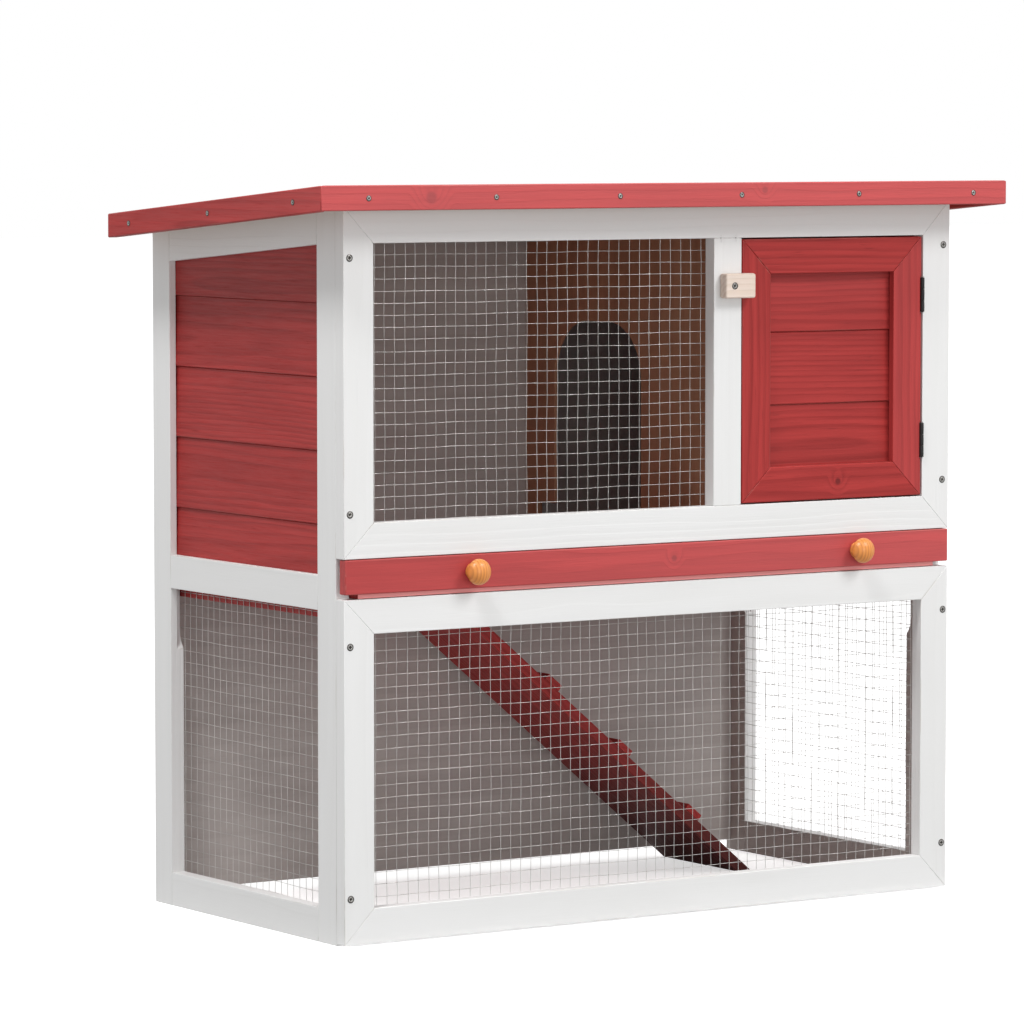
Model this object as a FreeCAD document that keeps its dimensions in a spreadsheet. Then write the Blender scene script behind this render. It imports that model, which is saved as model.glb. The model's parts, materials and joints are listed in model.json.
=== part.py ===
"""Two-storey rabbit hutch: living floor with a nest compartment above, wire run below.

Millimetres. X runs along the long side, Y front (-) to back (+), Z up. The origin lies on the ground
under the middle of the roof. Every board is a box or a wedge whose faces follow the sheet "Dims".
"""

import FreeCAD
import Part
import os

os.makedirs("parts", exist_ok=True)
doc = FreeCAD.newDocument("rabbit_hutch")

DIMS = {
    # roof
    "roof_w": 900, "roof_d": 450, "height": 800, "fall": 0.0782,
    "fascia_t": 12, "fascia_high": 26.4, "felt_t": 1.5, "deck_t": 15, "roof_gap": 1,
    # body
    "half_w": 399.5, "front": -186.5, "rear": 215, "board_t": 16.5, "member": 37,
    "rebate_t": 8.2, "rebate_lap": 8, "rebate_end": 307, "cutter": 34, "slack": 0.5,
    # upper front frame
    "up_low": 409, "up_open_low": 446.4, "up_open_top": 739, "up_top": 778,
    "mull_left": 74.8, "mull_right": 111.8,
    # lower front frame
    "lo_low": 2, "lo_open_low": 39.5, "lo_open_top": 329.5, "lo_top": 366.4,
    # sides
    "mid_low": 352.5, "mid_top": 389.5, "rail_drop": 55.5,
    "first_line": 442.2, "pitch": 77.8, "bevel": 2.2,
    # back, divider and ramp
    "back_t": 9, "back_low": 12, "back_top": 746.6, "back_rail_high": 18,
    "div_left": 89, "div_t": 4, "div_low": 429, "batten_t": 9, "batten_d": 22,
    "arch_front": -26.6, "arch_back": 146, "arch_top": 640.5, "arch_turn": 64,
    "bearer_right": -146, "bearer_w": 19, "bearer_high": 36,
    "ramp_foot": 277, "ramp_angle": 39.8, "ramp_t": 13, "ramp_front": 46, "ramp_w": 148,
    "cleat_t": 8, "cleat_w": 24, "cleat_first": 83, "cleat_pitch": 126,
    # tray
    "tray_half": 381, "tray_floor": 367, "tray_t": 4.8, "tray_front": -188, "tray_face_t": 12.3,
    "tray_face_high": 36.4, "tray_back": 203, "tray_side_t": 10, "tray_side_high": 34,
    "hole_left": -140, "hole_right": 60, "hole_front": 36,
    "ledger_low": 342, "ledger_w": 14, "knob_z": 390,
    # door and turn button
    "door_left": 113.3, "door_right": 359.9, "door_low": 448, "door_top": 737.4, "door_w": 38.5,
    "door_line_low": 554.4, "door_line_top": 634.5,
    "pin_x": 361.15, "pin_y": -187.3, "leaf_t": 0.9, "leaf_gap": 0.35, "hinge_len": 38,
    "knuckle": 2.3, "hinge_low": 490.5, "hinge_high": 653.5,
    "button_left": 82, "button_low": 673.5, "button_len": 40, "button_high": 27, "button_t": 12.5,
    "pivot_x": 93.8, "pivot_z": 687,
    # roof hinges
    "lid_y": 218.3, "lid_z": 748, "lid_knuckle": 2.5, "lid_leaf_t": 1, "lid_len": 60, "lid_x": 250,
    # wire
    "wire": 0.6, "mesh_pitch": 12.7,
}
NAMES = {word: "Dims." + word for word in DIMS}

sheet = doc.addObject("Spreadsheet::Sheet", "Dims")
for row, (word, number) in enumerate(DIMS.items(), start=1):
    sheet.set(f"A{row}", word)
    sheet.set(f"B{row}", str(number))
    sheet.setAlias(f"B{row}", word)
doc.recompute()

MITRE = (FreeCAD.Vector(1, 0, 0), 90)
UPRIGHT = (FreeCAD.Vector(1, 1, 1), 240)
SLOPED = (FreeCAD.Vector(0, 1, 0), 270)
CLADDING = (FreeCAD.Vector(1, 1, 1), 120)
LYING_X = (FreeCAD.Vector(0, 1, 0), 90)
LYING_Y = (FreeCAD.Vector(1, 0, 0), 90)

nodes = []


def bind(thing, expressions):
    """Ties properties of a thing to the sheet; words in braces are cells of the sheet."""
    for path, text in expressions.items():
        thing.setExpression(path, text.format(**NAMES))


def turned(thing, turn):
    thing.Placement = FreeCAD.Placement(FreeCAD.Vector(0, 0, 0), FreeCAD.Rotation(*turn))


def box(label, x, y, z):
    """A box between a low and a high expression on each axis."""
    made = doc.addObject("Part::Box", label)
    sizes = zip(("Length", "Width", "Height"), ("x", "y", "z"), (x, y, z))
    for size, axis, (low, high) in sizes:
        bind(made, {size: f"({high}) - ({low})", "Placement.Base." + axis: low})
    return made


def wedge(label, turn, along, start, end, across):
    """A prism with four corners: the range across one axis goes from start to end along another."""
    made = doc.addObject("Part::Wedge", label)
    turned(made, turn)
    low, high = across
    bind(made, {
        "Ymin": along[0], "Ymax": along[1],
        "Xmin": start[0], "Xmax": start[1], "X2min": end[0], "X2max": end[1],
        "Zmin": low, "Zmax": high, "Z2min": low, "Z2max": high,
    })
    return made


def mitred(label, z, outer, inner, y=("{front}", "{front} + {board_t}")):
    """A horizontal frame member: x range outer at z[0], inner at z[1]."""
    return wedge(label, MITRE, z, outer, inner, (f"-({y[1]})", f"-({y[0]})"))


def upright(label, x, first, second, y=("{front}", "{front} + {board_t}")):
    """A vertical frame member: z range first at x[0], second at x[1]."""
    return wedge(label, UPRIGHT, x, first, second, y)


def sloped(label, y, drops, x):
    """A piece that follows the fall of the roof, drops[0] to drops[1] below its top."""
    ends = [(roof_z(spot, drops[0]), roof_z(spot, drops[1])) for spot in y]
    return wedge(label, SLOPED, y, ends[0], ends[1], (f"-({x[1]})", f"-({x[0]})"))


def cylinder(label, radius, length, x, y, z, turn=None):
    made = doc.addObject("Part::Cylinder", label)
    if turn:
        turned(made, turn)
    bind(made, {"Radius": radius, "Height": length})
    bind(made, {"Placement.Base.x": x, "Placement.Base.y": y, "Placement.Base.z": z})
    return made


def fused(label, pieces):
    made = doc.addObject("Part::MultiFuse", label)
    made.Shapes = pieces
    return made


def cut(label, piece, tools):
    made = doc.addObject("Part::Cut", label)
    made.Base = piece
    made.Tool = tools[0] if len(tools) == 1 else fused(label + "_tools", tools)
    return made


def group(label, pieces):
    made = doc.addObject("Part::Compound", label)
    made.Links = pieces
    return made


def keep(thing):
    nodes.append(thing)
    return thing


def roof_z(y, drop):
    """Height of the roof's top at y, less a drop."""
    return f"({{height}} - {{fall}} * (({y}) + {{roof_d}} / 2) - ({drop}))"


def side_x(side, inner, outer):
    """The x range of a piece between two distances from the middle, on the left or the right."""
    return (f"-({outer})", f"-({inner})") if side == "left" else (inner, outer)


UNDERSIDE = "{felt_t} + {deck_t}"
INNER = "{half_w} - {board_t}"
REBATE = "{half_w} - {board_t} + {rebate_t}"
FRAME_BACK = "{front} + {board_t}"
FRONT_OPEN = "{front} + {board_t} + {member}"
REAR_OPEN = "{rear} - {member}"
STILE_EDGE = "{half_w} - {member}"


def front_frames():
    full = ("-{half_w}", "{half_w}")
    opening = (f"-({STILE_EDGE})", STILE_EDGE)
    frames = (
        ("upper_front", "{up_low}", "{up_open_low}", "{up_open_top}", "{up_top}"),
        ("lower_front", "{lo_low}", "{lo_open_low}", "{lo_open_top}", "{lo_top}"),
    )
    for name, low, open_low, open_top, top in frames:
        keep(mitred(name + "_bottom_rail", (low, open_low), full, opening))
        keep(mitred(name + "_top_rail", (open_top, top), opening, full))
        keep(upright(name + "_left_stile", ("-{half_w}", opening[0]), (low, top), (open_low, open_top)))
        if name == "lower_front":
            keep(upright(name + "_right_stile", (STILE_EDGE, "{half_w}"), (open_low, open_top), (low, top)))
    board = upright("right_stile_board", (STILE_EDGE, "{half_w}"),
                    ("{up_open_low}", "{up_open_top}"), ("{up_low}", "{up_top}"))
    keep(cut("upper_front_right_stile", board, hinge_grooves("jamb")))
    keep(box("upper_front_mullion", ("{mull_left}", "{mull_right}"), ("{front}", FRAME_BACK),
             ("{up_open_low}", "{up_open_top}")))


def hinge_grooves(name):
    """Room for the hinge knuckles in an edge of the door or of its opening."""
    return [
        cylinder(f"{name}_groove_{spot}", "{knuckle} + 0.4", "{hinge_len} + 2", "{pin_x}", "{pin_y}",
                 "{hinge_" + spot + "} - 1")
        for spot in ("low", "high")
    ]


def side_post(side, end, y, rebate_y, cutter_y):
    """A post whose inner edge is rebated for the cladding, with the cutter's curved run-out below."""
    name = f"{side}_{end}_post"
    x = side_x(side, INNER, "{half_w}")
    tops = [roof_z(spot, UNDERSIDE + " + {roof_gap}") for spot in y]
    blank = wedge(name + "_blank", SLOPED, y, ("0", tops[0]), ("0", tops[1]), (f"-({x[1]})", f"-({x[0]})"))
    inner = side_x(side, INNER, REBATE)
    top = roof_z(rebate_y[0], "{rail_drop} - {rebate_lap}")
    slot = box(name + "_rebate", inner, rebate_y, ("{rebate_end}", top))
    run_out = cylinder(name + "_run_out", "{cutter}", "{rebate_t}", inner[0], cutter_y, "{rebate_end}",
                       LYING_X)
    return keep(cut(name, blank, [slot, run_out]))


def side_frame(side):
    x = side_x(side, INNER, "{half_w}")
    inner = side_x(side, INNER, REBATE)
    opening = (FRONT_OPEN, REAR_OPEN)
    side_post(side, "front", (FRAME_BACK, FRONT_OPEN),
              (f"{FRONT_OPEN} - {{rebate_lap}}", FRONT_OPEN),
              f"{FRONT_OPEN} - {{rebate_lap}} + {{cutter}}")
    side_post(side, "rear", (REAR_OPEN, "{rear}"),
              (REAR_OPEN, f"{REAR_OPEN} + {{rebate_lap}}"),
              f"{REAR_OPEN} + {{rebate_lap}} - {{cutter}}")
    rail = sloped(side + "_top_rail_blank", opening, ("{rail_drop}", UNDERSIDE + " + {roof_gap}"), x)
    slot = sloped(side + "_top_rail_rebate", opening, ("{rail_drop}", "{rail_drop} - {rebate_lap}"), inner)
    keep(cut(side + "_top_rail", rail, [slot]))
    rail = box(side + "_mid_rail_blank", x, opening, ("{mid_low}", "{mid_top}"))
    slot = box(side + "_mid_rail_rebate", inner, opening, ("{mid_top} - {rebate_lap}", "{mid_top}"))
    keep(cut(side + "_mid_rail", rail, [slot]))
    keep(box(side + "_bottom_rail", x, opening, ("0", "{member}")))
    cladding(side)


def cladding(side):
    """Four bevelled boards and a top one cut to the roof's fall, all let into the rebates."""
    y = (f"{FRONT_OPEN} - {{rebate_lap}} + {{slack}}", f"{REAR_OPEN} + {{rebate_lap}} - {{slack}}")
    lows = ["{mid_top} - {rebate_lap} + {slack}"]
    lows += [f"{{first_line}} + {count} * {{pitch}}" for count in range(4)]
    thick = side_x(side, INNER, REBATE)
    thin = side_x(side, INNER, REBATE + " - {bevel}")
    boards = [
        wedge(f"{side}_board_{count}", MITRE, (low, high), thick, thin, (f"-({y[1]})", f"-({y[0]})"))
        for count, (low, high) in enumerate(zip(lows, lows[1:]), start=1)
    ]
    tops = [roof_z(spot, "{rail_drop} - {rebate_lap} + {slack}") for spot in y]
    boards.append(wedge(f"{side}_board_5", SLOPED, y, (lows[4], tops[0]), (lows[4], tops[1]),
                        (f"-({thick[1]})", f"-({thick[0]})")))
    keep(group(side + "_cladding_boards", boards))


def back_and_divider():
    inside = (f"-({INNER} - 0.2)", f"{INNER} - 0.2")
    wall = "{rear} - {back_t}"
    keep(box("back_panel", inside, (wall, "{rear}"), ("{back_low}", "{back_top}")))
    keep(box("back_top_rail", inside, (f"{wall} - {{board_t}}", wall), ("{back_top} - {back_rail_high}", "{back_top}")))
    x = ("{div_left}", "{div_left} + {div_t}")
    batten_front = f"{wall} - {{batten_d}}"
    keep(box("divider_batten", ("{div_left}", "{div_left} + {batten_t}"), (batten_front, wall),
             ("{tray_floor} + 42", "{back_top} - {back_rail_high} - {slack}")))
    y = (f"{FRAME_BACK} + {{slack}}", f"{batten_front} - {{slack}}")
    tops = [roof_z(spot, UNDERSIDE + " + 2") for spot in y]
    blank = wedge("divider_blank", SLOPED, y, ("{div_low}", tops[0]), ("{div_low}", tops[1]),
                  (f"-({x[1]})", f"-({x[0]})"))
    through = ("{div_left} - 1", "{div_left} + {div_t} + 1")
    spring = "{arch_top} - {arch_turn}"
    turns = ("{arch_front} + {arch_turn}", "{arch_back} - {arch_turn}")
    doorway = [
        box("arch_jambs", through, ("{arch_front}", "{arch_back}"), ("{div_low} - 1", spring)),
        box("arch_crown", through, turns, ("{div_low} - 1", "{arch_top}")),
    ]
    for count, middle in enumerate(turns):
        doorway.append(cylinder(f"arch_turn_{count}", "{arch_turn}", "{div_t} + 2", "{div_left} - 1", middle,
                                spring, LYING_X))
    keep(cut("divider_panel", blank, doorway))


def ramp():
    """The plank rises to the left at the ramp angle; its foot is level and its head is plumb."""
    bearer_left = "{bearer_right} - {bearer_w}"
    keep(box("ramp_bearer", (bearer_left, "{bearer_right}"),
             (f"{FRAME_BACK} + {{wire}} + {{slack}}", "{rear} - {back_t} - {slack}"),
             ("{tray_floor} - {slack} - {bearer_high}", "{tray_floor} - {slack}")))
    y = ("{ramp_front}", "{ramp_front} + {ramp_w}")

    def on_plank(label, from_foot, length, low, high):
        made = box(label, ("0", length), y, (low, high))
        turned(made, (FreeCAD.Vector(0, 1, 0), 0))
        reach = f"({from_foot})"
        bind(made, {
            "Placement.Rotation.Axis.y": "1",
            "Placement.Rotation.Angle": "{ramp_angle}",
            "Placement.Base.x": f"{{ramp_foot}} - {reach} * cos({{ramp_angle}} * 1deg)"
                                f" + ({low}) * sin({{ramp_angle}} * 1deg)",
            "Placement.Base.z": f"{reach} * sin({{ramp_angle}} * 1deg) + ({low}) * cos({{ramp_angle}} * 1deg)",
        })
        return made

    long_plank = on_plank("plank_blank", "600", "640", "0", "{ramp_t}")
    reach = box("plank_reach", ("{bearer_right}", "{ramp_foot} + 60"), ("{ramp_front} - 1", "{rear}"),
                ("0", "{tray_floor} - {slack}"))
    plank = doc.addObject("Part::Common", "ramp_plank")
    plank.Base = long_plank
    plank.Tool = reach
    keep(plank)
    cleats = []
    for count in range(4):
        start = f"{{cleat_first}} + {count} * {{cleat_pitch}} + {{cleat_w}}"
        bar = on_plank(f"cleat_blank_{count}", start, "{cleat_w}", "{ramp_t}", "{ramp_t} + {cleat_t}")
        made = doc.addObject("Part::Chamfer", f"cleat_{count}")
        made.Base = bar
        made.Edges = [(edge, 5, 5) for edge in (3, 7)]
        cleats.append(made)
    keep(group("ramp_cleats", cleats))


def tray():
    face = ("{tray_front}", "{tray_front} + {tray_face_t}")
    top_of_base = "{tray_floor} + {tray_t}"
    blank = box("tray_base_blank", ("-{tray_half}", "{tray_half}"), ("{tray_front} + 4", "{tray_back}"),
                ("{tray_floor}", top_of_base))
    hole = box("tray_hole", ("{hole_left}", "{hole_right}"), ("{hole_front}", "{tray_back} + 1"),
               ("{tray_floor} - 1", top_of_base + " + 1"))
    keep(cut("tray_base", blank, [hole]))
    keep(box("tray_front_board", ("-{half_w} + 1", "{half_w} - 1"), face,
             (top_of_base, top_of_base + " + {tray_face_high}")))
    high = (top_of_base, top_of_base + " + {tray_side_high}")
    for side in ("left", "right"):
        x = side_x(side, "{tray_half} - {tray_side_t}", "{tray_half}")
        keep(box(f"tray_{side}_side", x, (face[1], "{tray_back}"), high))
    back = ("{tray_back} - {tray_side_t}", "{tray_back}")
    keep(group("tray_back_boards", [
        box("tray_back_left", ("-{tray_half} + {tray_side_t}", "{hole_left}"), back, high),
        box("tray_back_right", ("{hole_right}", "{tray_half} - {tray_side_t}"), back, high),
    ]))
    keep(group("tray_knobs", [knob("left", -240), knob("right", 270)]))
    ledgers = []
    for side in ("left", "right"):
        x = side_x(side, f"{INNER} - 1 - {{ledger_w}}", f"{INNER} - 1")
        ledgers.append(box(side + "_ledger", x, (f"{FRAME_BACK} + {{slack}}", "{rear} - {back_t} - {slack}"),
                           ("{ledger_low}", "{tray_floor}")))
    keep(group("tray_ledgers", ledgers))


def knob(side, x):
    """A turned mushroom knob: a neck and a flattened round head."""
    neck = cylinder(side + "_knob_neck", "7.5", "12", str(x), "{tray_front}", "{knob_z}", LYING_Y)
    head = doc.addObject("Part::Ellipsoid", side + "_knob_head")
    turned(head, LYING_Y)
    bind(head, {"Radius1": "8.5", "Radius2": "14", "Radius3": "14"})
    bind(head, {"Placement.Base.x": str(x), "Placement.Base.y": "{tray_front} - 14",
                "Placement.Base.z": "{knob_z}"})
    return fused(side + "_knob", [neck, head])


def door():
    """A mitred frame around three bevelled boards that are let into it from behind."""
    full_x = ("{door_left}", "{door_right}")
    open_x = ("{door_left} + {door_w}", "{door_right} - {door_w}")
    full_z = ("{door_low}", "{door_top}")
    open_z = ("{door_low} + {door_w}", "{door_top} - {door_w}")
    back = (FRAME_BACK + " - {rebate_t}", FRAME_BACK)
    lap_x = (open_x[0] + " - {rebate_lap}", open_x[1] + " + {rebate_lap}")
    lap_z = (open_z[0] + " - {rebate_lap}", open_z[1] + " + {rebate_lap}")
    members = {
        "door_bottom_rail": mitred("door_bottom_rail_blank", (full_z[0], open_z[0]), full_x, open_x),
        "door_top_rail": mitred("door_top_rail_blank", (open_z[1], full_z[1]), open_x, full_x),
        "door_left_stile": upright("door_left_stile_blank", (full_x[0], open_x[0]), full_z, open_z),
        "door_right_stile": upright("door_right_stile_blank", (open_x[1], full_x[1]), open_z, full_z),
    }
    for name, blank in members.items():
        tools = [box(name + "_rebate", lap_x, back, lap_z)]
        if name == "door_right_stile":
            tools += hinge_grooves("door")
        keep(cut(name, blank, tools))
    x = (lap_x[0] + " + {slack}", lap_x[1] + " - {slack}")
    lines = (lap_z[0] + " + {slack}", "{door_line_low}", "{door_line_top}", lap_z[1] + " - {slack}")
    thick = back
    thin = (back[0] + " + {bevel}", back[1])
    keep(group("door_boards", [
        wedge(f"door_board_{count}", CLADDING, (low, high), thick, thin, x)
        for count, (low, high) in enumerate(zip(lines, lines[1:]), start=1)
    ]))


def door_hinges():
    """Butt hinges in the gap beside the door: three knuckles each, the middle one on the door's leaf."""
    third = "{hinge_len} / 3"
    leaf_back = "{front} + {board_t} - 1.5"
    leaves = {"frame": [], "door": []}
    pins = []
    for spot in ("low", "high"):
        base = "{hinge_" + spot + "}"
        spans = {"bottom": (base, f"{base} + {third} - 0.2"),
                 "middle": (f"{base} + {third} + 0.2", f"{base} + 2 * {third} - 0.2"),
                 "top": (f"{base} + 2 * {third} + 0.2", f"{base} + {{hinge_len}}")}
        for owner, own in (("frame", ("bottom", "top")), ("door", ("middle",))):
            name = f"{owner}_leaf_{spot}"
            near, far = "{leaf_gap}", "{leaf_gap} + {leaf_t}"
            x = ("{pin_x} + " + near, "{pin_x} + " + far)
            if owner == "door":
                x = (f"{{pin_x}} - ({far})", f"{{pin_x}} - {near}")
            plate = box(name + "_plate", x, ("{pin_y} + {knuckle} + 0.5", leaf_back),
                        (base, base + " + {hinge_len}"))
            pieces = [plate]
            for part_name in own:
                low, high = spans[part_name]
                pieces.append(box(f"{name}_{part_name}_root", x, ("{pin_y} + 0.5", leaf_back), (low, high)))
                pieces.append(cylinder(f"{name}_{part_name}_knuckle", "{knuckle}", f"({high}) - ({low})",
                                       "{pin_x}", "{pin_y}", low))
            bore = cylinder(name + "_bore", "1.05", "{hinge_len} + 2", "{pin_x}", "{pin_y}", base + " - 1")
            leaves[owner].append(cut(name, fused(name + "_solid", pieces), [bore]))
        pins.append(cylinder(f"door_pin_{spot}", "1", "{hinge_len} + 1", "{pin_x}", "{pin_y}", base + " - 0.5"))
    keep(group("door_hinge_frame_leaves", leaves["frame"]))
    keep(group("door_hinge_door_leaves", leaves["door"]))
    keep(group("door_hinge_pins", pins))


def turn_button():
    """A wooden block that turns on its screw and laps over the edge of the door."""
    face = "{front} - 0.5 - {button_t}"
    block = box("button_block", ("{button_left}", "{button_left} + {button_len}"), (face, "{front} - 0.5"),
                ("{button_low}", "{button_low} + {button_high}"))
    hole = cylinder("button_hole", "2.3", "{button_t} + 4", "{pivot_x}", "{front} + 1", "{pivot_z}", LYING_Y)
    sink = cylinder("button_sink", "3.8", "3", "{pivot_x}", face + " + 2", "{pivot_z}", LYING_Y)
    keep(cut("turn_button", block, [hole, sink]))
    shank = cylinder("button_shank", "2", "{button_t} + 12", "{pivot_x}", "{front} + 12", "{pivot_z}", LYING_Y)
    head = cylinder("button_head", "3.4", "1.6", "{pivot_x}", face + " + 1.8", "{pivot_z}", LYING_Y)
    keep(fused("turn_button_screw", [shank, head]))


def roof():
    """A felted deck inside three fascia boards, hinged along the back of the body."""
    edge = "{roof_w} / 2"
    inside = f"{edge} - {{fascia_t}}"
    board_back = "{fascia_t} - {roof_d} / 2"
    run = (board_back, "{roof_d} / 2")
    keep(box("roof_front_fascia", (f"-({edge})", edge), ("-{roof_d} / 2", board_back),
             ("{height} - {fascia_high}", "{height}")))
    for side in ("left", "right"):
        keep(sloped(f"roof_{side}_fascia", run, ("{fascia_high}", "0"), side_x(side, inside, edge)))
    across = (f"-({inside})", inside)
    keep(sloped("roof_felt", run, ("{felt_t}", "0"), across))
    deck = sloped("roof_deck_blank", run, (UNDERSIDE, "{felt_t}"), across)
    grooves = [
        cylinder(f"roof_groove_{count}", "{lid_knuckle} + 0.5", "{lid_len} + 2",
                 f"{sign}{{lid_x}} - {{lid_len}} / 2 - 1", "{lid_y}", "{lid_z}", LYING_X)
        for count, sign in enumerate(("-", ""))
    ]
    keep(cut("roof_deck", deck, grooves))


def roof_hinges():
    """Butt hinges folded between the back rail and the deck, with their knuckles behind the wall."""
    third = "{lid_len} / 3"
    leaves = {"wall": [], "lid": []}
    pins = []
    for side, sign in (("left", "-"), ("right", "")):
        base = f"{sign}{{lid_x}} - {{lid_len}} / 2"
        spans = {"first": (base, f"{base} + {third} - 0.2"),
                 "middle": (f"{base} + {third} + 0.2", f"{base} + 2 * {third} - 0.2"),
                 "last": (f"{base} + 2 * {third} + 0.2", f"{base} + {{lid_len}}")}
        whole = (base, base + " + {lid_len}")
        short_y = ("{rear} - 19", "{lid_y} - {lid_knuckle} - 0.6")
        long_y = ("{rear} - 19", "{lid_y} - 0.5")
        wall_z = ("{back_top}", "{back_top} + {lid_leaf_t}")
        lid_drop = (UNDERSIDE + " + {lid_leaf_t}", UNDERSIDE)
        plates = {
            "wall": [box(f"wall_plate_{side}", whole, short_y, wall_z)],
            "lid": [sloped(f"lid_plate_{side}", short_y, lid_drop, whole)],
        }
        for name in ("first", "last"):
            plates["wall"].append(box(f"wall_root_{side}_{name}", spans[name], long_y, wall_z))
        plates["lid"].append(sloped(f"lid_root_{side}", long_y, lid_drop, spans["middle"]))
        for owner, name in (("wall", "first"), ("wall", "last"), ("lid", "middle")):
            low, high = spans[name]
            plates[owner].append(cylinder(f"{owner}_knuckle_{side}_{name}", "{lid_knuckle}",
                                          f"({high}) - ({low})", low, "{lid_y}", "{lid_z}", LYING_X))
        for owner in ("wall", "lid"):
            bore = cylinder(f"{owner}_bore_{side}", "1.2", "{lid_len} + 2", base + " - 1", "{lid_y}",
                            "{lid_z}", LYING_X)
            leaves[owner].append(cut(f"{owner}_leaf_{side}", fused(f"{owner}_solid_{side}", plates[owner]), [bore]))
        pins.append(cylinder(f"lid_pin_{side}", "1.15", "{lid_len} + 1", base + " - 0.5", "{lid_y}", "{lid_z}",
                             LYING_X))
    keep(group("roof_hinge_wall_leaves", leaves["wall"]))
    keep(group("roof_hinge_lid_leaves", leaves["lid"]))
    keep(group("roof_hinge_pins", pins))


def fasteners():
    """Screws that hold the front frames, nails through the fascia and staples over the mullion joint."""
    rows = (
        (-392, 724), (-392, 456), (391, 728), (391, 464),
        (-392, 317), (-392, 51), (393, 317), (393, 52),
    )
    screws = []
    for count, (x, z) in enumerate(rows):
        shank = cylinder(f"screw_shank_{count}", "1.75", "34", str(x), "{front} + 35", str(z), LYING_Y)
        head = cylinder(f"screw_head_{count}", "3.2", "2", str(x), "{front} + 2.2", str(z), LYING_Y)
        screws.append(fused(f"screw_{count}", [shank, head]))
    keep(group("frame_screws", screws))
    nails = []
    for count, x in enumerate((-392, -234, -76, 84, 243, 403)):
        name = f"front_nail_{count}"
        shank = cylinder(name + "_shank", "1.1", "29.5", str(x), "30 - {roof_d} / 2", "{height} - 13.5", LYING_Y)
        head = cylinder(name + "_head", "2.7", "1", str(x), "1 - {roof_d} / 2", "{height} - 13.5", LYING_Y)
        nails.append(fused(name, [shank, head]))
    for side, sign, shift in (("left", "-", 0), ("right", "", -30)):
        for count, y in enumerate((-169, 7, 178)):
            name = f"{side}_nail_{count}"
            z = roof_z(str(y), "13.5")
            start = f"{sign}{{roof_w}} / 2"
            head_shift = "" if side == "left" else " - 1"
            shank = cylinder(name + "_shank", "1.1", "30", f"{start} + {shift}", str(y), z, LYING_X)
            head = cylinder(name + "_head", "2.7", "1", start + head_shift, str(y), z, LYING_X)
            nails.append(fused(name, [shank, head]))
    keep(group("fascia_nails", nails))
    staples = []
    for count, x in enumerate((84, 104)):
        staples.append(box(f"staple_{count}", (f"{x} - 0.6", f"{x} + 0.6"), ("{front}", "{front} + 8"),
                           ("{up_open_top} - 5", "{up_open_top} + 5")))
    keep(group("joint_staples", staples))


def grid(label, columns, rows, corner, turn):
    """A welded wire panel as one plate: a thin sheet with a square opening in every cell."""
    pitch = DIMS["mesh_pitch"]
    wire = DIMS["wire"]
    wide = columns * pitch + wire
    tall = rows * pitch + wire
    outer = Part.makePolygon([FreeCAD.Vector(u, v, 0) for u, v in
                              ((0, 0), (wide, 0), (wide, tall), (0, tall), (0, 0))])
    cells = []
    for column in range(columns):
        for row in range(rows):
            left, right = column * pitch + wire, (column + 1) * pitch
            low, high = row * pitch + wire, (row + 1) * pitch
            corners = ((left, low), (left, high), (right, high), (right, low), (left, low))
            cells.append(Part.makePolygon([FreeCAD.Vector(a, b, 0) for a, b in corners]))
    made = doc.addObject("Part::Feature", label)
    made.Shape = Part.Face([outer] + cells).extrude(FreeCAD.Vector(0, 0, wire))
    made.Placement = FreeCAD.Placement(FreeCAD.Vector(*corner), FreeCAD.Rotation(*turn))
    return keep(made)


def wire_panels():
    frame_back = DIMS["front"] + DIMS["board_t"] + DIMS["wire"]
    inner = DIMS["half_w"] - DIMS["board_t"]
    grid("upper_front_mesh", 36, 24, (-371.4, frame_back, 440.2), MITRE)
    grid("lower_front_mesh", 59, 24, (-375.1, frame_back, 31.6), MITRE)
    grid("left_side_mesh", 27, 25, (-inner, -158.6, 31.6), CLADDING)
    grid("right_side_mesh", 27, 25, (inner - DIMS["wire"], -158.6, 31.6), CLADDING)


front_frames()
side_frame("left")
side_frame("right")
back_and_divider()
ramp()
tray()
door()
door_hinges()
turn_button()
roof()
roof_hinges()
fasteners()
wire_panels()
doc.recompute()

for thing in doc.Objects:
    if "Invalid" in thing.State or "Error" in thing.State:
        raise ValueError(f"{thing.Label} did not recompute: {thing.State}")
for node in nodes:
    if node.Shape.isNull() or not node.Shape.isValid():
        raise ValueError(f"{node.Label} has no valid shape")
    node.Shape.exportStep(f"parts/{node.Label}.step")
print(len(nodes), "nodes")
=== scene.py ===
"""Looks of a two-storey rabbit hutch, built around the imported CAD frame."""

import json
import math
import random

import bmesh
import bpy
from mathutils import Matrix, Vector


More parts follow.
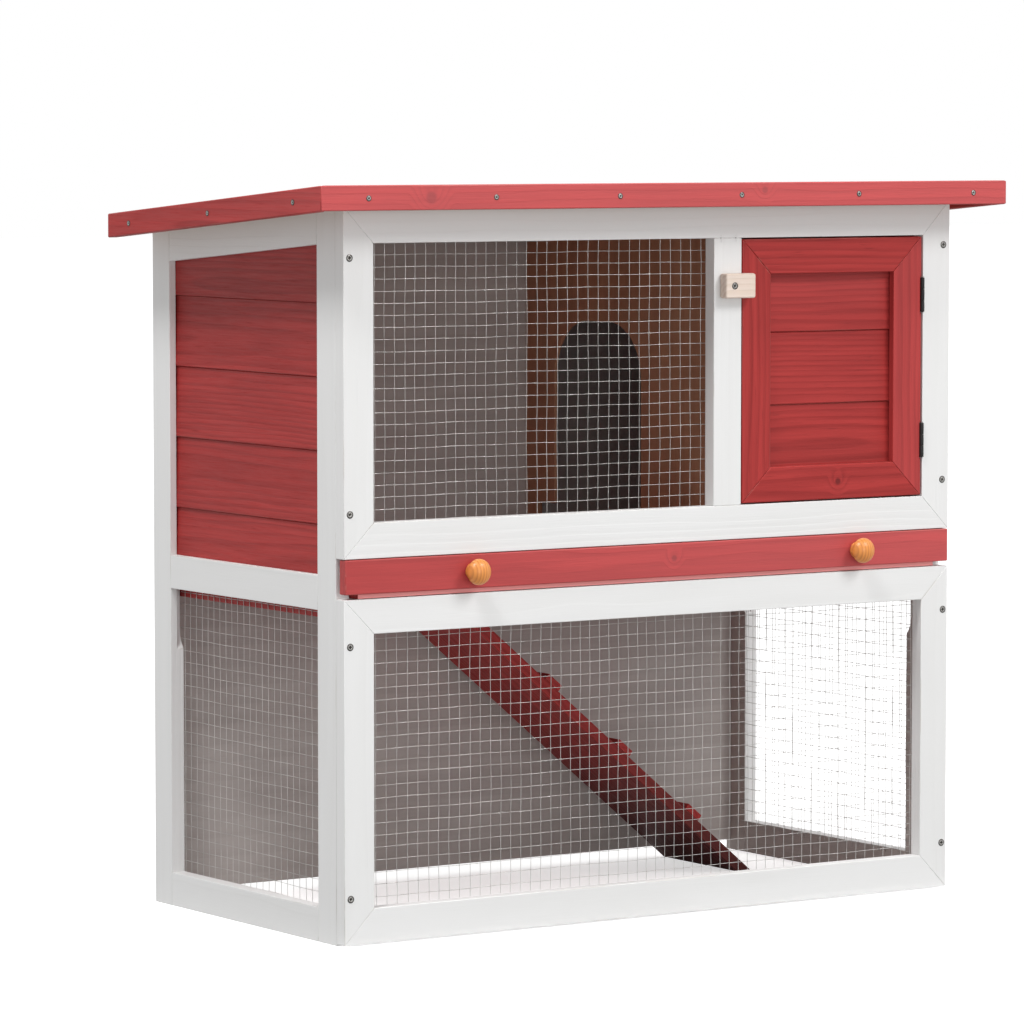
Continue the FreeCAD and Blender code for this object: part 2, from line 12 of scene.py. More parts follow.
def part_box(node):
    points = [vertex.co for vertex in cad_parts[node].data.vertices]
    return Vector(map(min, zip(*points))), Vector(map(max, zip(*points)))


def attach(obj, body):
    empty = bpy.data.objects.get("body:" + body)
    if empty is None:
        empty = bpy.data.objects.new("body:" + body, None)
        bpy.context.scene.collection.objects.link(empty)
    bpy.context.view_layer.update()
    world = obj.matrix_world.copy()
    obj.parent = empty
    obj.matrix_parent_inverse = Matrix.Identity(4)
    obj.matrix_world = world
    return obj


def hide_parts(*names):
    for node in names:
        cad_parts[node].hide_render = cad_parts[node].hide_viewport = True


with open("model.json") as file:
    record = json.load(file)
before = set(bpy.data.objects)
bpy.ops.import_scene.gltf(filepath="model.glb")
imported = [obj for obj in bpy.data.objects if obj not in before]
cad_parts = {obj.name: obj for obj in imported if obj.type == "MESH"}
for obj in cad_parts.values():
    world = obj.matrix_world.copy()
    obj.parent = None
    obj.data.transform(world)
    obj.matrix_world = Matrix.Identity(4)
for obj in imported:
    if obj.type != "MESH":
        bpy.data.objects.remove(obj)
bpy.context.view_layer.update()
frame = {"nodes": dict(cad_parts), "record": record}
BODY = {node: body for body, nodes in frame["record"]["behaviour"]["bodies"].items() for node in nodes}
chance = random.Random(11)

# Lengths are in metres throughout, except for the spacing of the wires.
ROOF_PITCH = math.radians(4.47)
RAMP_SLOPE = math.radians(39.8)
BOARD_EDGE = 0.0012
FRAME_EDGE = 0.0007
SHEET_EDGE = 0.0006
THIN_EDGE = 0.0004
LEAF_EDGE = 0.0002


# ---------------------------------------------------------------- materials

class Shader:
    """The nodes of a material or a world. An input is a plain value or another node's output."""

    def __init__(self, owner):
        self.owner = owner
        self.owner.use_nodes = True
        self.tree = self.owner.node_tree
        self.tree.nodes.clear()

    def add(self, kind, inputs=(), out=0, **settings):
        node = self.tree.nodes.new("ShaderNode" + kind)
        for key, value in settings.items():
            setattr(node, key, value)
        for key, value in dict(inputs).items():
            if isinstance(value, bpy.types.NodeSocket):
                self.tree.links.new(value, node.inputs[key])
            else:
                node.inputs[key].default_value = value
        return node.outputs[out]

    def math(self, operation, *values):
        return self.add("Math", enumerate(values), operation=operation)

    def vector(self, operation, *values, out=0):
        return self.add("VectorMath", enumerate(values), out, operation=operation)

    def mix(self, factor, first, second, blend="MIX"):
        inputs = {0: factor, 6: colour(first), 7: colour(second)}
        return self.add("Mix", inputs, 2, data_type="RGBA", blend_type=blend)

    def noise(self, place, scale, detail=2.0, roughness=0.5):
        """Smooth noise, 0 to 1, with its own scale along each axis of the place."""
        spread = self.vector("MULTIPLY", place, scale)
        inputs = {"Vector": spread, "Scale": 1.0, "Detail": detail, "Roughness": roughness}
        return self.add("TexNoise", inputs)

    def span(self, value, low, high, to_low=0.0, to_high=1.0):
        inputs = {0: value, 1: low, 2: high, 3: to_low, 4: to_high}
        return self.add("MapRange", inputs, interpolation_type="SMOOTHSTEP")

    def here(self):
        """The place on the object, in its own coordinates."""
        return self.add("TexCoord", out="Object")

    def mark(self, name):
        """A number stored on the mesh, one of wear_and_shade, bare_and_highlight and painted_light."""
        return self.add("Attribute", out="Fac", attribute_name=name)

    def bump(self, height, depth, strength=1.0):
        return self.add("Bump", {"Height": height, "Distance": depth, "Strength": strength})

    def surface(self, **inputs):
        names = {key.replace("_", " "): value for key, value in inputs.items()}
        return self.end(self.add("BsdfPrincipled", names), "OutputMaterial")

    def end(self, shader, kind):
        last = self.tree.nodes.new("ShaderNode" + kind)
        self.tree.links.new(shader, last.inputs["Surface"])
        return self.owner


def colour(value):
    """A colour of three parts gets its fourth; a node's output stays as it is."""
    return (*value, 1.0) if isinstance(value, tuple) and len(value) == 3 else value


def figure(s, pitch, knots=()):
    """Wood figure from the place in the log: late wood lines, slow tone, fibres and knots, each 0 to 1."""
    place = s.add("Attribute", out="Vector", attribute_name="grain")
    slow = {"Vector": s.vector("MULTIPLY", place, (2.6, 13.0, 13.0)), "Scale": 1.0, "Detail": 2.0}
    swell = s.vector("SUBTRACT", s.add("TexNoise", slow, "Color"), (0.5, 0.5, 0.5))
    shifted = s.vector("ADD", place, s.vector("MULTIPLY", swell, (0.0, 0.016, 0.016)))
    radius = s.vector("LENGTH", s.vector("MULTIPLY", shifted, (0.0, 1.0, 1.0)), out="Value")
    knot = 0.0
    here = s.here()
    for spot, size in knots:
        far = s.vector("DISTANCE", s.vector("MULTIPLY", here, (1.0, 0.2, 1.0)),
                       (spot[0], 0.2 * spot[1], spot[2]), out="Value")
        near = s.span(far, 0.45 * size, size, 1.0, 0.0)
        bend = s.span(far, 0.0, 3.6 * size, 1.0, 0.0)
        radius = s.math("MULTIPLY_ADD", bend, 1.9 * size, radius)
        knot = near if knot == 0.0 else s.math("MAXIMUM", knot, near)
    turn = s.math("FRACT", s.math("DIVIDE", radius, pitch))
    rings = s.math("MULTIPLY", s.span(turn, 0.25, 0.86), s.span(turn, 0.88, 1.0, 1.0, 0.0))
    tone = s.noise(place, (3.2, 17.0, 17.0), 3.0, 0.6)
    fibre = s.noise(place, (26.0, 620.0, 620.0), 3.0, 0.65)
    return place, rings, tone, fibre, knot


def stained(name, light, dark, deep, knots=(), gloss=0.46):
    """Wood under a thin coloured stain: the figure shows through and the edges are rubbed a little.

    With knots it also takes the painted light of its boards, 1 being the palest and -1 the darkest: the
    stain is painted paler where light falls brighter and darker where the boards lie in shade.
    """
    s = Shader(bpy.data.materials.new(name))
    place, rings, tone, fibre, knot = figure(s, 0.0052, knots)
    streak = s.noise(place, (5.0, 150.0, 150.0), 3.0, 0.6)
    depth = s.math("MULTIPLY_ADD", rings, 0.42, s.span(streak, 0.34, 0.72, 0.0, 0.45))
    base = s.mix(s.math("MINIMUM", depth, 1.0), light, dark)
    base = s.mix(s.span(tone, 0.36, 0.72, 0.0, 0.42), base, dark)
    base = s.mix(s.span(fibre, 0.60, 0.80, 0.0, 0.55), base, deep)
    if knots:
        base = s.mix(s.math("MULTIPLY", knot, 0.8), base, deep)
        # Painted light and shade: towards pale pink where the boards catch the light, towards near black
        # red where they lie in shade.
        painted_light = s.mark("painted_light")
        base = s.mix(s.span(painted_light, 0.0, 1.0, 0.0, 0.30), base, (0.95, 0.215, 0.225))
        base = s.mix(s.span(painted_light, 0.0, -1.0, 0.0, 0.9), base, (0.060, 0.016, 0.014))
    # Painted highlight: on the stain only the tray base's front face is marked, and it is made pale pink.
    base = s.mix(s.mark("bare_and_highlight"), base, (0.86, 0.34, 0.33))
    rubbed = s.math("MULTIPLY", s.mark("wear_and_shade"), s.span(streak, 0.45, 0.7, 0.0, 0.30))
    base = s.mix(rubbed, base, (0.62, 0.23, 0.19))
    height = s.math("ADD", s.math("MULTIPLY", rings, -0.35), s.math("MULTIPLY", fibre, 0.8))
    rough = s.span(fibre, 0.3, 0.8, gloss - 0.06, gloss + 0.16)
    return s.surface(Base_Color=base, Roughness=rough, Normal=s.bump(height, 0.0004, 0.75),
                     Specular_IOR_Level=0.28)


def painted(name, light, shade):
    """Solid wood paint: nearly even, with the figure as faint relief, and unpainted wood on inner faces."""
    s = Shader(bpy.data.materials.new(name))
    place, rings, tone, fibre, _ = figure(s, 0.0061)
    dirt = s.noise(place, (9.0, 34.0, 34.0), 4.0, 0.6)
    base = s.mix(s.span(tone, 0.35, 0.75, 0.0, 0.45), light, shade)
    base = s.mix(s.math("MULTIPLY", rings, 0.16), base, shade)
    base = s.mix(s.span(fibre, 0.62, 0.84, 0.0, 0.5), base, shade)
    chipped = s.math("MULTIPLY", s.mark("wear_and_shade"), s.span(dirt, 0.52, 0.62, 0.0, 0.35))
    base = s.mix(chipped, base, (0.50, 0.44, 0.38))
    lines = s.math("MAXIMUM", s.math("MULTIPLY", rings, 0.6), fibre)
    bare_and_highlight = s.mix(lines, (0.600, 0.535, 0.505), (0.440, 0.380, 0.355))
    base = s.mix(s.mark("bare_and_highlight"), base, bare_and_highlight)
    height = s.math("ADD", s.math("MULTIPLY", rings, -0.4), s.math("MULTIPLY", fibre, 0.55))
    rough = s.span(dirt, 0.3, 0.7, 0.42, 0.58)
    return s.surface(Base_Color=base, Roughness=rough, Normal=s.bump(height, 0.00035, 0.6),
                     Specular_IOR_Level=0.4)


def sheet_wood(name, light, dark, gloss=0.55):
    """Thin stained plywood or board: broad rotary-cut figure and fine pores."""
    s = Shader(bpy.data.materials.new(name))
    place, rings, tone, fibre, _ = figure(s, 0.021)
    blotch = s.noise(place, (7.0, 12.0, 12.0), 3.0, 0.6)
    base = s.mix(s.span(tone, 0.3, 0.75, 0.0, 0.6), light, dark)
    base = s.mix(s.math("MULTIPLY", rings, 0.22), base, dark)
    base = s.mix(s.span(fibre, 0.55, 0.8, 0.0, 0.5), base, dark)
    rough = s.span(blotch, 0.3, 0.7, gloss - 0.05, gloss + 0.15)
    return s.surface(Base_Color=base, Roughness=rough, Normal=s.bump(fibre, 0.0002, 0.6),
                     Specular_IOR_Level=0.35)


def varnished(name, light, dark):
    """Clear orange varnish over turned pine."""
    s = Shader(bpy.data.materials.new(name))
    place, rings, tone, fibre, _ = figure(s, 0.0034)
    base = s.mix(s.math("MULTIPLY", rings, 0.75), light, dark)
    base = s.mix(s.span(tone, 0.35, 0.7, 0.0, 0.35), base, dark)
    return s.surface(Base_Color=base, Roughness=s.span(fibre, 0.3, 0.7, 0.36, 0.50),
                     Coat_Weight=0.25, Coat_Roughness=0.28, Normal=s.bump(rings, 0.0001, 0.4))


def metal(name, tone, low, high, metallic, scale):
    """Zinc or black steel: cloudy, with fine scratches, and dark where the mask marks it: painted shade on
    the rings and recesses of screw heads and on the rounded edges of other metal pieces.
    """
    s = Shader(bpy.data.materials.new(name))
    here = s.here()
    cloud = s.noise(here, (scale, scale, scale), 4.0, 0.6)
    scratch = s.noise(here, (scale * 4, scale * 22, scale * 4), 3.0, 0.7)
    dull = tuple(0.62 * part for part in tone)
    base = s.mix(s.span(cloud, 0.35, 0.7, 0.0, 0.7), tone, dull)
    # Painted shade: marked faces turned almost black.
    base = s.mix(s.mark("wear_and_shade"), base, (0.035, 0.028, 0.026))
    rough = s.span(scratch, 0.3, 0.75, low, high)
    return s.surface(Base_Color=base, Metallic=metallic, Roughness=rough, Normal=s.bump(cloud, 0.0001, 0.4))


def felt(name):
    """Bitumen roofing felt with mineral granules."""
    s = Shader(bpy.data.materials.new(name))
    here = s.here()
    granules = {"Vector": here, "Scale": 620.0}
    grit = s.add("TexVoronoi", granules, "Color")
    lump = s.add("TexVoronoi", granules, "Distance")
    cloud = s.noise(here, (6.0, 6.0, 6.0), 4.0, 0.6)
    shade = s.add("SeparateColor", {0: grit})
    base = s.mix(shade, (0.030, 0.050, 0.036), (0.115, 0.150, 0.118))
    base = s.mix(s.span(cloud, 0.35, 0.7, 0.0, 0.5), base, (0.045, 0.062, 0.050))
    return s.surface(Base_Color=base, Roughness=0.9, Normal=s.bump(lump, 0.0009, 1.0))


def ground(name, tone, glow):
    """Pale even ground that glows, less so near the middle, where the hutch stands: painted shade under the
    hutch.
    """
    s = Shader(bpy.data.materials.new(name))
    here = s.here()
    cloud = s.noise(here, (1.4, 1.4, 1.4), 3.0, 0.5)
    base = s.mix(cloud, (tone, tone, tone), (tone + 0.02, tone + 0.02, tone + 0.015))
    away = s.vector("LENGTH", s.vector("MULTIPLY", here, (1.0 / 0.42, 1.0 / 0.24, 0.0)), out="Value")
    # Painted shade: the glow drops towards the middle, under the hutch.
    power = s.span(away, 0.5, 1.5, 0.72 * glow, glow)
    return s.surface(Base_Color=base, Roughness=0.9, Specular_IOR_Level=0.0,
                     Emission_Color=(1.0, 1.0, 1.0, 1.0), Emission_Strength=power)


def knot_places():
    """Knots of the red boards: the place of each on its board, and its size."""
    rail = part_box("door_bottom_rail")
    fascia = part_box("roof_front_fascia")
    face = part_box("tray_front_board")
    middle = (rail[0] + rail[1]) / 2
    return (
        ((middle.x + 0.008, rail[0].y, middle.z), 0.0050),
        ((fascia[0].x + 0.135, fascia[0].y, fascia[0].z + 0.013), 0.0085),
        ((fascia[0].x + 0.565, fascia[0].y, fascia[0].z + 0.018), 0.0050),
        ((face[0].x + 0.42, face[0].y, face[0].z + 0.020), 0.0045),
    )


SLOTS = {
    "red_stain": stained("red_woodstain", (0.450, 0.039, 0.036), (0.270, 0.019, 0.018),
                         (0.130, 0.011, 0.011), knot_places()),
    "white_paint": painted("white_wood_paint", (0.826, 0.825, 0.820), (0.772, 0.768, 0.757)),
    "brown_ply": sheet_wood("brown_plywood", (0.500, 0.255, 0.152), (0.310, 0.145, 0.086)),
    "taupe_panel": sheet_wood("taupe_board", (0.500, 0.458, 0.436), (0.375, 0.330, 0.310)),
    "pine_board": stained("bare_pine", (0.640, 0.440, 0.260), (0.470, 0.270, 0.130),
                          (0.300, 0.160, 0.080), gloss=0.62),
    "button_wood": stained("pale_wood", (0.860, 0.740, 0.655), (0.740, 0.590, 0.490),
                           (0.560, 0.420, 0.330), gloss=0.5),
    "knob_varnish": varnished("orange_varnish", (0.820, 0.315, 0.066), (0.560, 0.180, 0.036)),
    "roof_felt": felt("mineral_felt"),
    "galvanised_wire": metal("galvanised_wire", (0.74, 0.73, 0.71), 0.30, 0.55, 0.9, 40.0),
    "black_steel": metal("black_steel", (0.020, 0.020, 0.021), 0.35, 0.55, 0.3, 120.0),
    "zinc_steel": metal("zinc_steel", (0.62, 0.61, 0.58), 0.28, 0.50, 1.0, 160.0),
}
NODE_SLOT = {part["node"]: part["material_slot"] for part in frame["record"]["subparts"]}


# ---------------------------------------------------------------- mesh code

def piece(name, verts, faces, node, smooth=None, grain=None, wear_and_shade=None, bare_and_highlight=None, painted_light=None):
    """A new visible piece that stands for a CAD node and takes its slot's material.

    grain and painted_light are given for each vertex, wear_and_shade and bare_and_highlight for each face.
    """
    mesh = bpy.data.meshes.new(name)
    mesh.from_pydata(verts, [], faces)
    mesh.polygons.foreach_set("use_smooth", [True] * len(faces) if smooth is None else smooth)
    if grain:
        layer = mesh.attributes.new("grain", "FLOAT_VECTOR", "POINT")
        layer.data.foreach_set("vector", [part for place in grain for part in place])
    for word, values, domain in (("wear_and_shade", wear_and_shade, "FACE"), ("bare_and_highlight", bare_and_highlight, "FACE"), ("painted_light", painted_light, "POINT")):
        if values:
            mesh.attributes.new(word, "FLOAT", domain).data.foreach_set("value", values)
    mesh.validate()
    thing = bpy.data.objects.new(name, mesh)
    bpy.context.scene.collection.objects.link(thing)
    mesh.materials.append(SLOTS[NODE_SLOT[node]])
    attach(thing, BODY[node])
    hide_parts(node)
    return thing


def solids(mesh):
    """The vertex loops of each closed solid of a node: the faces of one follow those of another."""
    keys = [tuple(round(part * 20000) for part in vert.co) for vert in mesh.vertices]
    group, unpaired = [], set()
    for face in mesh.polygons:
        group.append(face)
        ids = [keys[index] for index in face.vertices]
        for edge in zip(ids, ids[1:] + ids[:1]):
            if edge[::-1] in unpaired:
                unpaired.remove(edge[::-1])
            else:
                unpaired.add(edge)
        if not unpaired:
            yield from apart(mesh, keys, group)
            group = []
    yield from apart(mesh, keys, group)


def apart(mesh, keys, group):
    """The loops of faces that share no corner with the rest, one list for each such set."""
    parent = {}

    def root(key):
        while parent.setdefault(key, key) != key:
            parent[key] = parent[parent[key]]
            key = parent[key]
        return key

    for face in group:
        ids = [keys[index] for index in face.vertices]
        for key in ids[1:]:
            parent[root(key)] = root(ids[0])
    sets = {}
    for face in group:
        loop = [mesh.vertices[index].co.copy() for index in face.vertices]
        sets.setdefault(root(keys[face.vertices[0]]), []).append(loop)
    return list(sets.values())


def softened(loops, width):
    """One solid with its triangles merged into flat faces and its sharp edges rounded."""
    flat, sharp = math.radians(0.6), math.radians(32)
    bm = bmesh.new()
    for loop in loops:
        bm.faces.new([bm.verts.new(place) for place in loop])
    bmesh.ops.remove_doubles(bm, verts=bm.verts, dist=2e-5)
    bmesh.ops.dissolve_limit(bm, angle_limit=flat, verts=bm.verts, edges=bm.edges)
    bm.normal_update()
    edges = [edge for edge in bm.edges if edge.is_manifold and edge.calc_face_angle(0.0) > sharp]
    made = bmesh.ops.bevel(bm, geom=edges, offset=width, segments=2, profile=0.5,
                           affect="EDGES", clamp_overlap=True)
    bm.normal_update()
    return bm, set(made["faces"])


def log_place(loops, grain):
    """How a solid lies in its log: the axes along, across and through it, and where its pith is."""
    corners = [place for loop in loops for place in loop]
    if grain is None:
        sizes = [max(p[i] for p in corners) - min(p[i] for p in corners) for i in range(3)]
        order = sorted(range(3), key=lambda i: -sizes[i])
        axes = [Vector([float(i == axis) for i in range(3)]) for axis in order]
    else:
        axes = [Vector(axis).normalized() for axis in grain]
    reach = [(min(p.dot(a) for p in corners), max(p.dot(a) for p in corners)) for a in axes]
    middles = [(low + high) / 2 for low, high in reach]
    wide = reach[1][1] - reach[1][0]
    pith = (chance.uniform(-9, 9), chance.uniform(-0.7, 0.7) * wide,
            chance.choice((-1, 1)) * chance.uniform(0.022, 0.060))
    return axes, middles, pith


MITRED = ("roof_front_fascia", "roof_left_fascia", "roof_right_fascia")


def mitred(node, place):
    """Moves a fascia's corner so that the boards meet on the diagonal at the front corners of the roof."""
    low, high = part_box("roof_front_fascia")
    thick = high.y - low.y
    near = 0.001
    x, y, z = place
    if node == "roof_front_fascia":
        if y > high.y - near and abs(x) > high.x - near:
            x = math.copysign(high.x - thick, x)
    elif y < high.y + near and abs(x) > high.x - near:
        y, z = y - thick, z + thick * math.tan(ROOF_PITCH)
    return Vector((x, y, z))


def board(node, width, grain):
    """A CAD node as a worked piece: rounded edges, and for each solid its own figure."""
    verts, faces, places, smooth, wear_and_shade, bare_and_highlight = [], [], [], [], [], []
    inward = INWARD.get(node.split("_")[0] if NODE_SLOT[node] == "white_paint" else node)
    for loops in solids(frame["nodes"][node].data):
        if node in MITRED:
            loops = [[mitred(node, place) for place in loop] for loop in loops]
        axes, middles, pith = log_place(loops, grain)
        bm, rounded = softened(loops, width)
        start = len(verts)
        for index, vert in enumerate(bm.verts):
            vert.index = index
            verts.append(tuple(vert.co))
            places.append(tuple(vert.co.dot(a) - m - p for a, m, p in zip(axes, middles, pith)))
        for face in bm.faces:
            faces.append([start + vert.index for vert in face.verts])
            facets = [edge for edge in face.edges
                      if edge.is_manifold and not rounded.intersection(edge.link_faces)]
            curved = any(0.02 < edge.calc_face_angle(0.0) < 0.5 for edge in facets)
            smooth.append(face in rounded or (curved and len(face.verts) == 4))
            # Rounded faces are marked: worn edges on wood, painted shade on metal.
            wear_and_shade.append(float(face in rounded))
            # Unpainted inner faces of the white frames are marked, and the tray base's front face for its
            # painted highlight.
            bare_and_highlight.append(float(inward is not None and face.normal.dot(inward) > 0.9))
        bm.free()
    # Painted light and shade for each vertex, from the table of painted light.
    painted_light = [PAINTED_LIGHT[node](Vector(vert)) for vert in verts] if node in PAINTED_LIGHT else None
    return piece(node + "_shape", verts, faces, node, smooth, places, wear_and_shade, bare_and_highlight, painted_light)


def bands(start, count, rings):
    """Quads between neighbouring rings of count vertices each, the first ring starting at start."""
    faces = []
    for ring in range(rings - 1):
        for step in range(count):
            a = start + ring * count + step
            b = start + ring * count + (step + 1) % count
            faces.append([a, b, b + count, a + count])
    return faces


def lathe(profile, centre, out, steps):
    """A surface turned about a line through the centre, from (radius, height) pairs, with closed ends."""
    out = Vector(out).normalized()
    side = out.orthogonal().normalized()
    up = out.cross(side)
    verts = []
    for radius, height in profile:
        for step in range(steps):
            angle = 2 * math.pi * step / steps
            spoke = side * math.cos(angle) + up * math.sin(angle)
            verts.append(Vector(centre) + out * height + spoke * radius)
    faces = bands(0, steps, len(profile))
    faces.append(list(range(steps))[::-1])
    faces.append(list(range((len(profile) - 1) * steps, len(profile) * steps)))
    return verts, faces


def joined(parts):
    """Several meshes as one list of vertices and one of faces."""
    verts, faces = [], []
    for more_verts, more_faces in parts:
        start = len(verts)
        verts += [tuple(vert) for vert in more_verts]
        faces += [[start + index for index in face] for face in more_faces]
    return verts, faces


def screw_head(centre, out, radius, turn=0.0, recess=0.5, deep=0.0003):
    """A flat head with a cross recess and a dark outer ring; also gives how dark each face is: the ring and
    the recess are painted shade.

    turn is the angle of the cross, recess its reach as a part of the radius, and deep its depth.
    """
    rings, steps = 14, 56
    profile = [(radius * 0.62, -0.0016), (radius * 0.99, -0.0002), (radius, 0.00005),
               (radius * 0.96, 0.00018), (radius * 0.70, -0.00005)]
    rim_end = len(profile) * steps
    profile += [(radius * 0.66 * (rings - step) / rings + 1e-5, 0.00030) for step in range(rings + 1)]
    verts, faces = lathe(profile, centre, out, steps)
    # Painted shade: the outer ring of the head, where it meets the wood, is dark.
    dark = [0.82 * (index < rim_end) for index in range(len(faces))]
    out = Vector(out).normalized()
    side = out.orthogonal().normalized()
    side = Matrix.Rotation(turn, 3, out) @ side
    up = out.cross(side)
    sunk = set()
    for index, vert in enumerate(verts):
        if index < rim_end:
            continue
        flat = vert - Vector(centre)
        u, v = abs(flat.dot(side)), abs(flat.dot(up))
        narrow, far = min(u, v), max(u, v)
        if far < recess * radius and narrow < 0.4 * recess * radius:
            depth = deep * min(1.0, (recess * radius - far) / (0.25 * radius) + 0.3)
            verts[index] = vert - out * depth
            sunk.add(index)
    # Painted shade: the faces of the cross recess are darker still.
    for index, face in enumerate(faces):
        if sum(corner in sunk for corner in face) >= 3:
            dark[index] = 0.95
    return verts, faces, dark


# ---------------------------------------------------------------- woodwork

MESHES = ("upper_front_mesh", "lower_front_mesh", "left_side_mesh", "right_side_mesh")
OWN = MESHES + ("frame_screws", "fascia_nails", "tray_knobs", "turn_button_screw", "turn_button")
EDGES = {
    "door_hinge_frame_leaves": LEAF_EDGE,
    "door_hinge_door_leaves": LEAF_EDGE,
    "door_hinge_pins": LEAF_EDGE,
    "roof_hinge_wall_leaves": LEAF_EDGE,
    "roof_hinge_lid_leaves": LEAF_EDGE,
    "roof_hinge_pins": LEAF_EDGE,
    "joint_staples": THIN_EDGE,
    "roof_felt": THIN_EDGE,
    "divider_panel": SHEET_EDGE,
    "back_panel": SHEET_EDGE,
    "tray_base": SHEET_EDGE,
}
FRAMES = ("upper_front_", "lower_front_", "left_", "right_")
for node in frame["nodes"]:
    if node.startswith(FRAMES) and NODE_SLOT[node] == "white_paint":
        EDGES[node] = FRAME_EDGE

# The figure's axes where they aren't those of the box: along, across and through the log.
UP_RAMP = (-math.cos(RAMP_SLOPE), 0, math.sin(RAMP_SLOPE))
OFF_RAMP = (math.sin(RAMP_SLOPE), 0, math.cos(RAMP_SLOPE))
GRAIN = {
    "back_panel": ((1, 0, 0), (0, 0, 1), (0, 1, 0)),
    "divider_panel": ((0, 0, 1), (0, 1, 0), (1, 0, 0)),
    "ramp_plank": (UP_RAMP, (0, 1, 0), OFF_RAMP),
    "ramp_cleats": ((0, 1, 0), UP_RAMP, OFF_RAMP),
}

# The way a marked face looks, by the first word of a white piece's name, or by the node: on the white
# frames their unpainted inner faces, on the tray base its front face, painted pale pink as a highlight.
INWARD = {"left": Vector((1, 0, 0)), "right": Vector((-1, 0, 0)), "upper": Vector((0, 1, 0)),
          "lower": Vector((0, 1, 0)), "tray_base": Vector((0, -1, 0))}

# How pale or dark the stain is painted from place to place, as painted light and shade: paler where light
# falls on the front fascia, the front of the left fascia, the tray front (more so to the right), the door's
# top board and right stile and the ramp's head; darker, as shade, on the door's lowest board, the left
# cladding's top board under the roof and the ramp towards its foot. These are the heights where it changes.
DOOR_BOARD_1, DOOR_BOARD_3 = 0.553, 0.636
TOP_SIDE_BOARD = 0.674
RAMP_HEIGHT = 0.36
HALF_FRONT = 0.4


# Painted light and shade along the ramp: paler at its head, darker towards its foot.
def ramp_painted_light(place):
    return 0.5 - 1.5 * (1.0 - min(place.z / RAMP_HEIGHT, 1.0)) ** 1.6


# Painted light and shade on the door: the lowest board darker, the top board paler.
def door_board_painted_light(place):
    if place.z < DOOR_BOARD_1:
        return -0.30
    return 0.35 if place.z > DOOR_BOARD_3 else 0.1


PAINTED_LIGHT = {
    "roof_front_fascia": lambda place: 0.95,
    "roof_left_fascia": lambda place: 0.40 if place.y < 0.0 else 0.0,
    "tray_front_board": lambda place: 0.72 + 0.20 * place.x / HALF_FRONT,
    "ramp_plank": ramp_painted_light,
    "door_boards": door_board_painted_light,
    "door_right_stile": lambda place: 0.35,
    "left_cladding_boards": lambda place: -0.25 if place.z > TOP_SIDE_BOARD else 0.05,
}

for node in sorted(frame["nodes"]):
    if node not in OWN:
        board(node, EDGES.get(node, BOARD_EDGE), GRAIN.get(node))


# ---------------------------------------------------------------- wire panels

WIRE_RADIUS = 0.0003
WIRE_SIDES = 6
WIRE_STEP = 0.0063
PANELS = {
    "upper_front_mesh": ((1, 0, 0), (0, 1, 0), (7.4, 13.08, -4.4, 405), (5.5, 12.75, 0, 400)),
    "lower_front_mesh": ((1, 0, 0), (0, 1, 0), (11.5, 12.80, 5.0, 461), (3.9, 13.04, 0, 400)),
    "left_side_mesh": ((0, 1, 0), (1, 0, 0), (12.0, 12.90, 1.5, 300), (4.8, 12.98, 0, 400)),
    "right_side_mesh": ((0, 1, 0), (-1, 0, 0), (12.0, 12.86, -1.5, 300), (5.5, 12.93, 0, 400)),
}


def wire_panel(node, across, behind, columns, rows):
    """Welded mesh of round wires on one slightly wavy surface, the second set of wires behind the first.

    columns and rows each give the first wire's distance from the panel's edge, the pitch, and how far
    and over what length the spacing drifts, in millimetres.
    """
    low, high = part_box(node)
    across, up, behind = Vector(across), Vector((0, 0, 1)), Vector(behind)
    corner = Vector([low[i] if (across + up)[i] > 0 else (low[i] + high[i]) / 2 for i in range(3)])
    seed = chance.uniform(0, 6)

    def at(u, v, back):
        """The place of a point of the mesh: the wires wander within the panel and the sheet bulges."""
        du = 0.00034 * math.sin(u * 19 + v * 31 + seed) + 0.00024 * math.sin(v * 71 - u * 13 + 2 * seed)
        dv = 0.00032 * math.sin(v * 17 - u * 23 + seed) + 0.00022 * math.sin(u * 63 + v * 11 + 3 * seed)
        dn = 0.00020 * math.sin(u * 12 + seed) * math.sin(v * 9)
        return corner + across * (u + du) + up * (v + dv) + behind * (back + dn)

    verts, faces = [], []
    wide, tall = (high - low).dot(across), (high - low).dot(up)
    sets = ((columns, wide, tall, False), (rows, tall, wide, True))
    for (first, pitch, drift, over), reach, length, along in sets:
        back = 1.7 * WIRE_RADIUS if along else 0.0
        flat = up if along else across
        for number in range(math.ceil(reach * 1000 / pitch)):
            fixed = first + number * pitch + drift * math.sin(math.pi * number * pitch / over)
            fixed = fixed / 1000 + chance.uniform(-0.00035, 0.00035)
            if fixed > reach - WIRE_RADIUS:
                continue
            start = len(verts)
            count = round(length / WIRE_STEP)
            for mark in range(count + 1):
                run = length * mark / count
                middle = at(run, fixed, back) if along else at(fixed, run, back)
                for side in range(WIRE_SIDES):
                    angle = 2 * math.pi * side / WIRE_SIDES
                    spoke = flat * math.cos(angle) + behind * math.sin(angle)
                    verts.append(tuple(middle + spoke * WIRE_RADIUS))
            faces += bands(start, WIRE_SIDES, count + 1)
            faces.append(list(range(start, start + WIRE_SIDES))[::-1])
            faces.append(list(range(len(verts) - WIRE_SIDES, len(verts))))
    return piece(node + "_wires", verts, faces, node)


for node in MESHES:
    wire_panel(node, *PANELS[node])


# ---------------------------------------------------------------- screws, nails, knobs, button

def solid_middles(node):
    """The middle and the box of each solid of a node."""
    for loops in solids(frame["nodes"][node].data):
        places = [place for loop in loops for place in loop]
        low = Vector([min(p[i] for p in places) for i in range(3)])
        high = Vector([max(p[i] for p in places) for i in range(3)])
        yield (low + high) / 2, low, high


